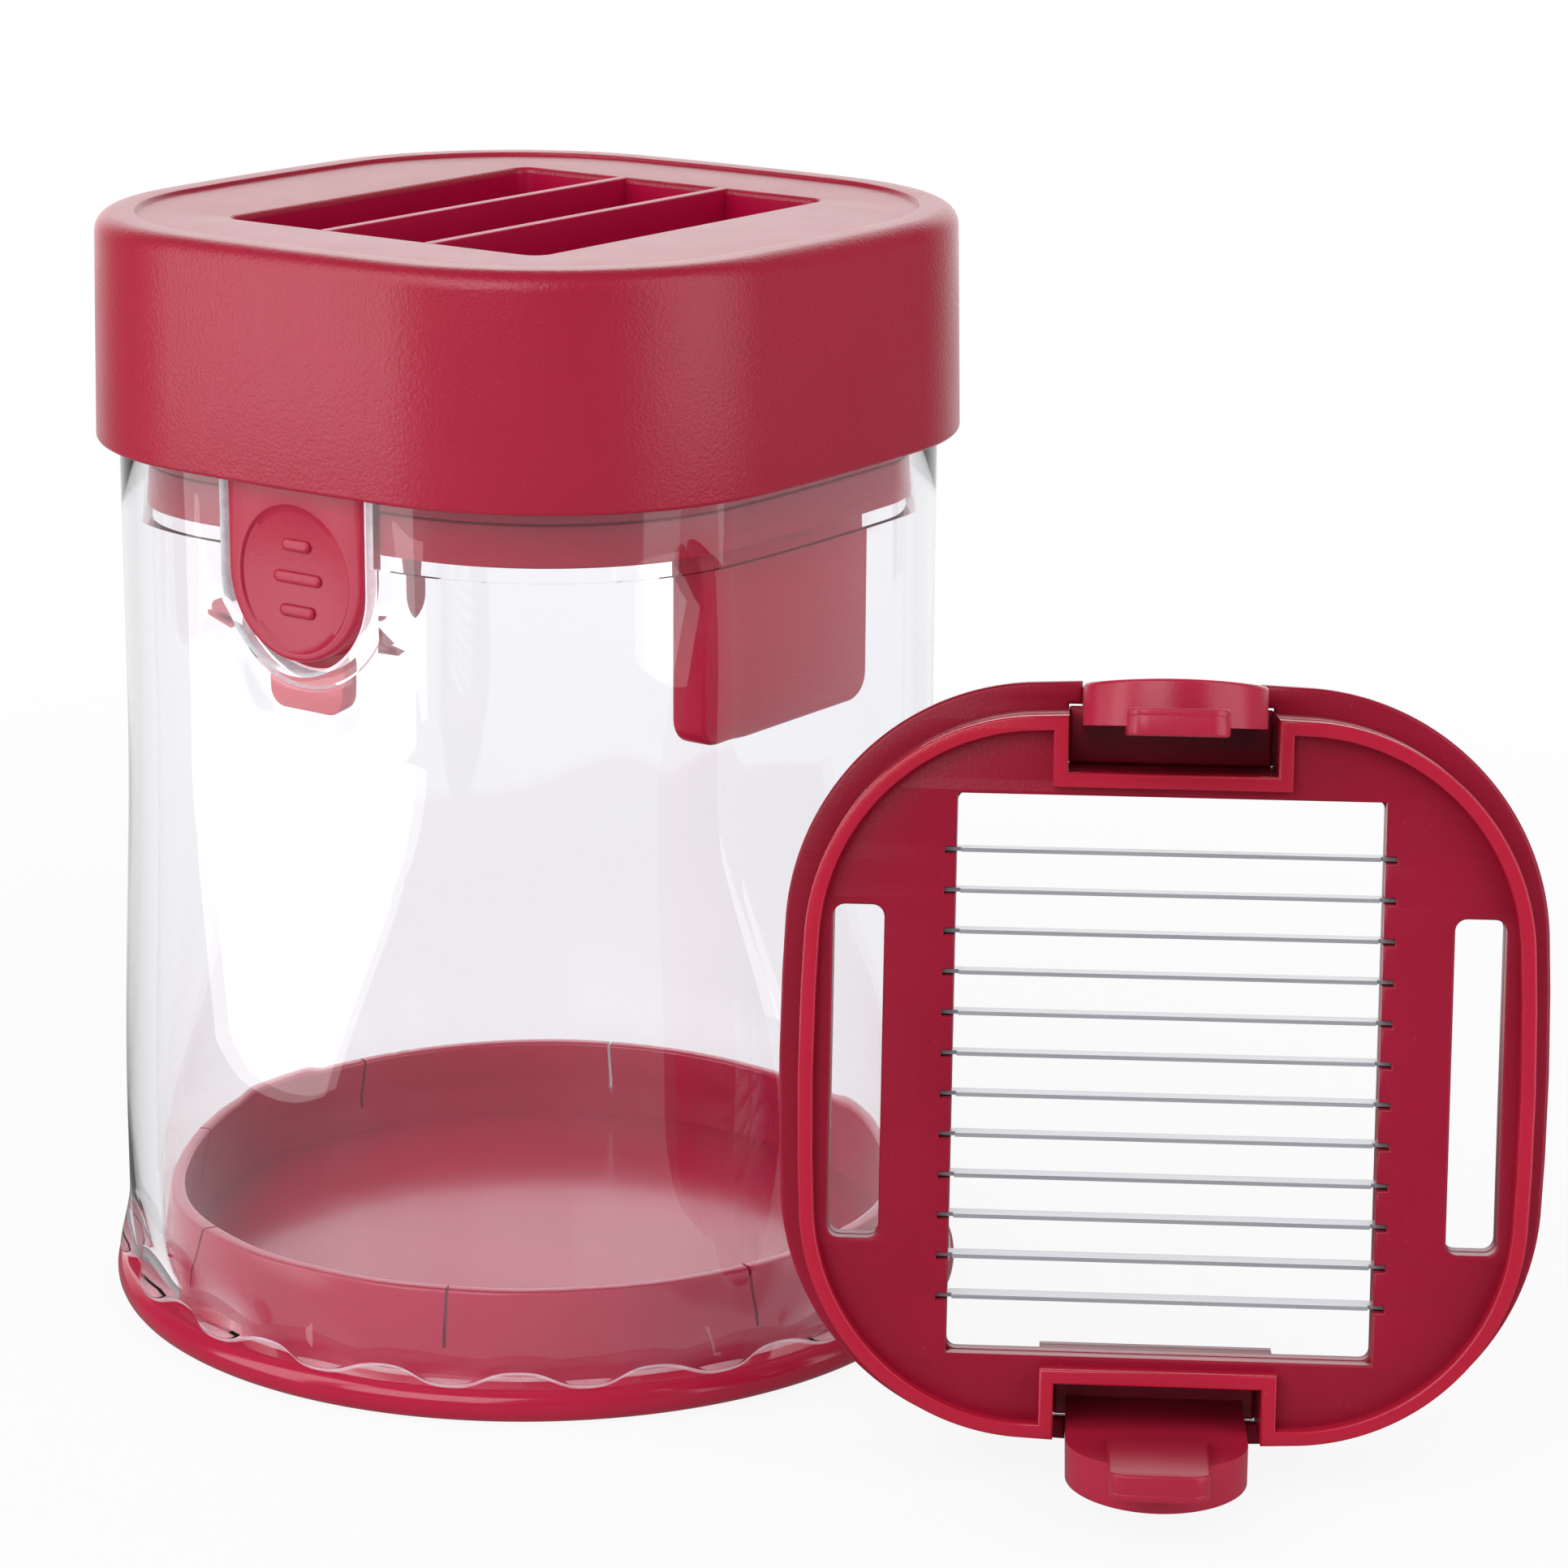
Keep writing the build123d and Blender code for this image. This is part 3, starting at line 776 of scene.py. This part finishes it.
def build_ring():
    """The ring that plugs the jar: plain below, cut into eight springy stretches above."""
    slit_width = 0.44 * MM
    slit_half = math.asin(slit_width / 2 / ring_radius)
    stretch = 2 * math.pi / ring_stretches
    slit_turn = math.radians(25.6)
    steps = 40
    starts = stretch * np.arange(ring_stretches) + slit_turn
    turns = np.concatenate([start + np.linspace(slit_half, stretch - slit_half, steps) for start in starts])
    inner = ring_radius - ring_wall
    lead = 1.4 * MM
    lead_z = ring_top - 5.8 * MM
    slit_z = ring_top - 8 * MM
    root_z = base_top - 0.2 * MM
    tip = 0.5 * MM
    tip_outer = ring_radius - lead + 0.1 * MM
    tip_inner = inner - lead
    profile = [(ring_radius, root_z), (ring_radius, slit_z), (ring_radius, lead_z)]
    profile += [(tip_outer - tip + across, ring_top - tip + up) for across, up in quarter_round(tip, 3, 0)]
    profile += [(tip_inner + tip + across, ring_top - tip + up) for across, up in quarter_round(tip, 3, 90)]
    profile += [(inner, lead_z), (inner, slit_z), (inner, root_z)]
    rows = [circle_ring(radius, turns, z) for radius, z in profile]
    columns = len(turns)
    upper = range(1, len(rows) - 2)

    def keep(row, column):
        return not (column % steps == steps - 1 and row in upper)

    faces = ring_faces(len(rows), columns, True, keep)
    for k in range(ring_stretches):
        here = k * steps + steps - 1
        after = (here + 1) % columns
        for column in (k * steps, here):
            faces.append(tuple(row * columns + column for row in range(1, len(rows) - 1)))
        faces.append((columns + here, columns + after, (len(rows) - 2) * columns + after,
                      (len(rows) - 2) * columns + here))
    # The ring takes the darker red of painted shade.
    show("base_plug_ring", np.concatenate(rows), faces, ring_painted_shade_red, "base", sharp=40)


build_base()
build_ring()


# Blade inserts

insert_columns = 200
insert_turns = 2 * math.pi * np.arange(insert_columns) / insert_columns


def insert_outline(grow, half_pocket, pocket_y, gate=()):
    """The mouth's plan, grown or shrunk, with a bay cut in at the front and at the back.

    The gate gives the points where the bay narrows towards the edge."""
    ring = mouth_ring(grow, insert_turns, 0)[:, :2]
    bay = [(half_pocket, pocket_y)] + list(gate)
    opening = bay[-1][0]
    right = sorted((tuple(p) for p in ring if p[0] > opening), key=lambda p: math.atan2(p[1], p[0]))
    back_edge = sorted(tuple(p) for p in ring if p[1] > 0)
    bay.append((opening, np.interp(opening, [p[0] for p in back_edge], [p[1] for p in back_edge])))
    half = [(x, -y) for x, y in bay] + right + bay[::-1]
    return half + [(-x, -y) for x, y in half]


def blade_window():
    """The lower plate's window, with a mouth at each end of each blade."""
    sides = []
    for y in blade_ys:
        low, high = y - blade_mouth.y / 2, y + blade_mouth.y / 2
        deep = window_half.x + blade_mouth.x
        sides += [(window_half.x, low), (deep, low), (deep, high), (window_half.x, high)]
    half = [(window_half.x, -window_half.y)] + sides + [(window_half.x, window_half.y)]
    return half + [(-x, -y) for x, y in half]


def dress(node, material):
    """Gives a frame part its finish."""
    nodes[node].data.materials.clear()
    nodes[node].data.materials.append(material)


def build_insert(body, prefix, place):
    """One blade insert: flange, plug ring and plates in two halves, blades clamped between them."""
    window_corner = 1.2 * MM
    slot_corner = 1.5 * MM
    flange_round = 0.5 * MM
    soft = 0.3 * MM
    half_seam = 0.06 * MM
    window = rounded_rectangle(window_half.x, window_half.y, window_corner)
    slots = [rounded_rectangle(slot_half.x, slot_half.y, slot_corner, (x, 0))
             for x in (-leg_centre, leg_centre)]
    bay = insert_outline(-plug_wall, pocket_half + plug_wall, pocket_back - plug_wall)
    wall = insert_outline(0, pocket_half, pocket_back)
    gate = [(pocket_half, gate_y), (gate_half, gate_y)]
    flange = insert_outline(flange_grow, pocket_half, pocket_back, gate)
    plate = insert_outline(-plug_wall / 2, pocket_half + plug_wall / 2, pocket_back - plug_wall / 2)
    upper_z, lower_z = parting_z + half_seam, parting_z - half_seam
    layers = (
        ("flange", [flange, bay], rim_z, flange_top, flange_round, "blade_retainer"),
        ("upper_ring", [wall, bay], upper_z, rim_z + soft, soft, None),
        ("upper_plate", [plate, window] + slots, upper_z, parting_z + plate_thickness, soft, None),
        ("lower_plate", [plate, blade_window()] + slots, parting_z - plate_thickness, lower_z, soft, None),
        ("lower_ring", [wall, bay], plug_bottom, lower_z, soft, "blade_frame"),
    )
    for name, outlines, low, high, edge_round, stands_for in layers:
        # The spare's plug ring takes the brighter red of painted light; the other layers take the insert's
        # red, darkened in part as painted shade.
        finish = rim_painted_light_red if prefix and name == "lower_ring" else insert_red
        piece = slab(f"{prefix}{name}", outlines, low - rim_z, high - rim_z, edge_round, finish, body,
                     stands_for=[prefix + stands_for] if stands_for else ())
        piece.data.transform(place)
    for name in blade_names:
        dress(prefix + name, spare_steel if prefix else steel)


def spare_place():
    """Where the spare insert stands, read from its two clips' hinges."""
    lower = joints["spare_clip_lower_squeeze"]
    upper = joints["spare_clip_upper_squeeze"]
    first, second = Vector(lower["pos_m"]), Vector(upper["pos_m"])
    x = Vector(lower["axis"]).normalized()
    y = (second - first).normalized()
    turn = Matrix((x, y, x.cross(y))).transposed()
    return Matrix.Translation((first + second) / 2) @ turn.to_4x4()


build_insert("jar", "", Matrix.Translation((0, 0, rim_z)))
build_insert("base", "spare_", spare_place())


def pad_outline(half, low, high, steps=26):
    """Front view of a thumb pad: straight top and sides, and a round lower end."""
    centre = low + half
    points = [(-half + 2 * half * k / steps, high) for k in range(steps)]
    points += [(half, high + (centre - high) * k / steps) for k in range(steps)]
    round_end = np.linspace(0, math.pi, 3 * steps)[:-1]
    points += [(half * math.cos(t), centre - half * math.sin(t)) for t in round_end]
    points += [(-half, centre + (high - centre) * k / steps) for k in range(steps)]
    return np.array(points)


def capsule(length, height, up, back, proud):
    """A raised bar with round ends and a rounded top, as points and faces."""
    rows = []
    outline = np.array(rounded_rectangle(length / 2, height / 2, height / 2 - 0.01 * MM, steps=8))
    for shrink, deep in ((1, -1), (1, 0.35), (0.93, 0.7), (0.75, 0.92), (0.45, 1), (0.1, 1)):
        inset = (1 - shrink) * height / 2
        ring = outline - np.sign(outline) * np.minimum(inset, np.abs(outline))
        depth = np.full(len(ring), back - proud * deep)
        rows.append(np.column_stack([ring[:, 0], depth, ring[:, 1] + up]))
    columns = len(outline)
    faces = ring_faces(len(rows), columns, False)
    faces += [tuple(range(columns)), tuple(range((len(rows) - 1) * columns, len(rows) * columns))]
    return np.concatenate(rows), faces


def build_pad(name, body, place, stands_for):
    """A thumb pad: crowned face, oval dish with a crisp edge, and three short ridges."""
    half = 11.3 * MM
    low = -31 * MM
    high = flange_top - rim_z
    face_y = -jar_half
    back_y = 2.6 * MM - plug_half
    crown = 0.6 * MM
    edge_round = 0.5 * MM
    dish_half = np.array([9.2 * MM, 9.7 * MM])
    dish_z = -20.3 * MM
    dish_step = 0.3 * MM
    dish_deep = 0.95 * MM
    dish_shares = (0.02, 0.15, 0.3, 0.45, 0.6, 0.75, 0.88, 0.965)
    rim_share = 1.012
    ridges = ((4.8 * MM, 4.3 * MM), (8 * MM, 0), (5.9 * MM, -4.3 * MM))
    ridge_height = 1.6 * MM
    ridge_proud = 0.5 * MM
    outline = pad_outline(half, low, high)
    from_dish = outline - np.array([0, dish_z])
    rim = from_dish / np.linalg.norm(from_dish / dish_half, axis=1, keepdims=True)
    inset = from_dish * (1 - edge_round / np.linalg.norm(from_dish, axis=1, keepdims=True))

    def face(points, sink):
        depth = face_y + crown * (points[:, 0] / half) ** 2 + sink
        return np.column_stack([points[:, 0], depth, points[:, 1] + dish_z])

    dish_edge = rim * rim_share
    rows = [face(rim * t, dish_step + dish_deep * (1 - t * t)) for t in dish_shares]
    rows += [face(rim * 0.99, dish_step * 0.3), face(rim, 0.02 * MM), face(dish_edge, 0)]
    rows += [face(dish_edge + (inset - dish_edge) * t, 0) for t in (0.25, 0.5, 0.75, 1)]
    rows += [face(inset + (from_dish - inset) * math.sin(t), edge_round * (1 - math.cos(t)))
             for t in np.linspace(0, math.pi / 2, 5)[1:]]
    side = face(from_dish, 0)
    side[:, 1] = back_y
    rows.append(side)
    columns = len(outline)
    faces = ring_faces(len(rows), columns, False)
    faces += [tuple(range(columns)), tuple(range((len(rows) - 1) * columns, len(rows) * columns))]
    verts = np.concatenate(rows)
    for length, up in ridges:
        floor_y = face_y + dish_step + dish_deep * (1 - (up / dish_half[1]) ** 2)
        bar, bar_faces = capsule(length, ridge_height, dish_z + up, floor_y, ridge_proud)
        faces += [tuple(i + len(verts) for i in f) for f in bar_faces]
        verts = np.concatenate([verts, bar])
    pad = show(name, verts, faces, clip_red, body, stands_for, sharp=40)
    pad.data.transform(place)


def build_clip(node, place, splay):
    """One spring clip: web in the flange, thumb pad, and a tongue with a barb."""
    hinge = Matrix.Translation((0, -pocket_back, 0))
    place = place @ hinge @ Matrix.Rotation(math.radians(-splay), 4, "X") @ hinge.inverted()
    build_pad(f"{node}_pad", node, place, [node])
    side_play, gate_play, hinge_play = 0.03 * MM, 0.2 * MM, 0.1 * MM
    web_corner, web_round = 0.3 * MM, 0.45 * MM
    tongue_half, tongue_thickness = 6.15 * MM, 2.6 * MM
    tongue_low, tongue_high = -38 * MM, -20 * MM
    tongue_corner, tongue_round = 2.5 * MM, 0.3 * MM
    barb_proud, barb_root, barb_round = 0.7 * MM, 0.3 * MM, 0.25 * MM
    wall_clearance, notch_distance = 0.4 * MM, 2.7 * MM
    web_half = pocket_half - side_play
    web_near, web_far = gate_y - gate_play, pocket_back + hinge_play
    web = rounded_rectangle(web_half, (web_near - web_far) / 2, web_corner, (0, -(web_near + web_far) / 2))
    neck_y = jar_wall - jar_half + wall_clearance
    tongue_foot = round_foot(tongue_half, tongue_low, tongue_corner)
    tongue = [(tongue_half, tongue_high), (-tongue_half, tongue_high)] + tongue_foot
    arc = notch_radius + notch_distance
    arc_z = notch_centre_z - rim_z
    barb = [(x, arc_z - math.sqrt(arc ** 2 - x ** 2)) for x in np.linspace(tongue_half, -tongue_half, 13)]
    barb += tongue_foot
    pieces = (
        ("web", [web], 0, flange_top - rim_z, web_round, "XY"),
        ("tongue", [tongue], neck_y, neck_y + tongue_thickness, tongue_round, "XZ"),
        ("barb", [barb], neck_y - barb_proud, neck_y + barb_root, barb_round, "XZ"),
    )
    for name, outlines, near, far, edge_round, plane in pieces:
        # Seated clips' tongue and barb take the pinker red of painted haze; webs and the spare's clips take
        # the clip's red.
        finish = clip_red if name == "web" or splay else tongue_painted_haze_red
        piece = slab(f"{node}_{name}", outlines, near, far, edge_round, finish, node, plane)
        piece.data.transform(place)


spare_splay = 4
half_turn = Matrix.Rotation(math.pi, 4, "Z")
seat = Matrix.Translation((0, 0, rim_z))
build_clip("clip_front", seat, 0)
build_clip("clip_back", seat @ half_turn, 0)
build_clip("spare_clip_lower", spare_place(), spare_splay)
build_clip("spare_clip_upper", spare_place() @ half_turn, spare_splay)


# Floor, light and camera

view_turn = math.radians(35.45)
view_right = Vector((math.cos(view_turn), math.sin(view_turn), 0))
view_toward = Vector((math.sin(view_turn), -math.cos(view_turn), 0))
view_up = Vector((0, 0, 1))
middle = (0, 0, 0.08)
room_light = 0.36
room_gleam = 0.12
floor_front_gleam = 0.2
backdrop_from, backdrop_to = -0.6, -0.85


def along_view(look, place):
    """How far a place or direction lies towards the viewer's side of the studio."""
    return look.make("ShaderNodeVectorMath", {"operation": "DOT_PRODUCT"},
                     {0: place, 1: tuple(view_toward)}, output="Value")


def build_floor():
    """A pale floor that looks white and keeps a faint shadow; shiny faces see it dim in front."""
    reach = 6.0
    corners = [(-reach, -reach, 0), (reach, -reach, 0), (reach, reach, 0), (-reach, reach, 0)]
    mesh = bpy.data.meshes.new("floor")
    mesh.from_pydata(corners, [], [(0, 1, 2, 3)])
    floor = bpy.data.objects.new("floor", mesh)
    bpy.context.scene.collection.objects.link(floor)
    material, look = new_material("white_floor")
    seen = look.make("ShaderNodeLightPath", output="Is Camera Ray")
    through = look.make("ShaderNodeLightPath", output="Is Transmission Ray")
    mirrored = look.make("ShaderNodeLightPath", output="Is Glossy Ray") * (1 - through)
    place = look.make("ShaderNodeTexCoord", output="Object")
    aside = look.make("ShaderNodeVectorMath", {"operation": "NORMALIZE"}, {0: place})
    far = look.make("ShaderNodeVectorMath", {"operation": "LENGTH"}, {0: place}, output="Value")
    paper = look.make("ShaderNodeBsdfDiffuse", inputs={"Color": (0.82, 0.82, 0.83, 1)})
    white = look.make("ShaderNodeEmission", inputs={"Color": (1, 1, 1, 1), "Strength": 1.0})
    dim = look.make("ShaderNodeEmission", inputs={"Color": (1, 1, 1, 1), "Strength": floor_front_gleam})
    share = (seen + through) * between(look, far, 0.1, 0.4, 0.9, 1.0)
    surface = look.make("ShaderNodeMixShader", inputs={0: share, 1: paper, 2: white})
    gleam = look.make("ShaderNodeMixShader", inputs={
        0: between(look, along_view(look, aside), backdrop_from, backdrop_to), 1: dim, 2: white})
    surface = look.make("ShaderNodeMixShader", inputs={0: mirrored, 1: surface, 2: gleam})
    finish_material(material, look, surface)
    mesh.materials.append(material)


def build_world():
    """White backdrop for what is seen, with a greyer studio for what only lights the object."""
    world = bpy.data.worlds.new("studio")
    bpy.context.scene.world = world
    world.use_nodes = True
    world.node_tree.nodes.clear()
    look = Look(world.node_tree)
    seen = look.make("ShaderNodeLightPath", output="Is Camera Ray")
    through = look.make("ShaderNodeLightPath", output="Is Transmission Ray")
    mirrored = look.make("ShaderNodeLightPath", output="Is Glossy Ray")
    direction = look.make("ShaderNodeTexCoord", output="Generated")
    room = look.make("ShaderNodeBackground", inputs={"Color": (0.97, 0.975, 1, 1), "Strength": room_light})
    dim = look.make("ShaderNodeBackground", inputs={"Color": (1, 1, 1, 1), "Strength": room_gleam})
    white = look.make("ShaderNodeBackground", inputs={"Color": (1, 1, 1, 1), "Strength": 1.0})
    gleam = look.make("ShaderNodeMixShader", inputs={
        0: between(look, along_view(look, direction), backdrop_from, backdrop_to), 1: dim, 2: white})
    surface = look.make("ShaderNodeMixShader", inputs={0: mirrored, 1: room, 2: gleam})
    surface = look.make("ShaderNodeMixShader", inputs={0: seen + through, 1: surface, 2: white})
    look.make("ShaderNodeOutputWorld", inputs={"Surface": surface})


def softbox(name, place, aim, size, power):
    """A large soft lamp aimed at a point, which the camera doesn't see."""
    data = bpy.data.lights.new(name, "AREA")
    data.shape = "RECTANGLE"
    data.size, data.size_y = size
    data.energy = power
    lamp = bpy.data.objects.new(name, data)
    bpy.context.scene.collection.objects.link(lamp)
    lamp.location = place
    lamp.rotation_mode = "QUATERNION"
    lamp.rotation_quaternion = (Vector(aim) - Vector(place)).to_track_quat("-Z", "Y")
    lamp.visible_camera = False


def studio_point(right, toward, up):
    """A point given from the object as the camera sees it: to the right, nearer and higher."""
    return view_right * right + view_toward * toward + view_up * up


def standing_panel(name, bearing, distance, width, height, radiance):
    """An upright light panel on the floor, at a bearing from the camera's side of the object."""
    turn = math.radians(bearing)
    place = studio_point(distance * math.sin(turn), distance * math.cos(turn), height / 2)
    softbox(name, place, (0, 0, height / 2), (width, height), math.pi * radiance * width * height)


def build_camera():
    """The camera at the photograph's angle and distance."""
    image_width = 1932
    focal_pixels = 5600
    look_down = math.radians(15.5)
    look_point = studio_point(0.03436, 0, 0.07027)
    distance = 0.626
    roll = Quaternion((0, 0, 1), math.radians(0.44))
    data = bpy.data.cameras.new("camera")
    data.sensor_width = 36
    data.lens = data.sensor_width * focal_pixels / image_width
    data.clip_start = 0.02
    data.clip_end = 50
    camera = bpy.data.objects.new("camera", data)
    bpy.context.scene.collection.objects.link(camera)
    back = view_toward * math.cos(look_down) + view_up * math.sin(look_down)
    camera.location = look_point + back * distance
    camera.rotation_mode = "QUATERNION"
    camera.rotation_quaternion = (-back).to_track_quat("-Z", "Y") @ roll
    bpy.context.scene.camera = camera


build_floor()
build_world()
standing_panel("left_panel", bearing=-70, distance=0.37, width=0.18, height=0.6, radiance=2.4)
standing_panel("right_panel", bearing=62, distance=0.42, width=0.31, height=0.6, radiance=1.55)
softbox("front_softbox", studio_point(-0.45, 0.8, 0.7), middle, size=(0.8, 0.8), power=5.4)
standing_panel("back_panel", bearing=180, distance=0.9, width=1.2, height=0.8, radiance=0.78)
build_camera()
bpy.context.scene.view_settings.view_transform = "Standard"
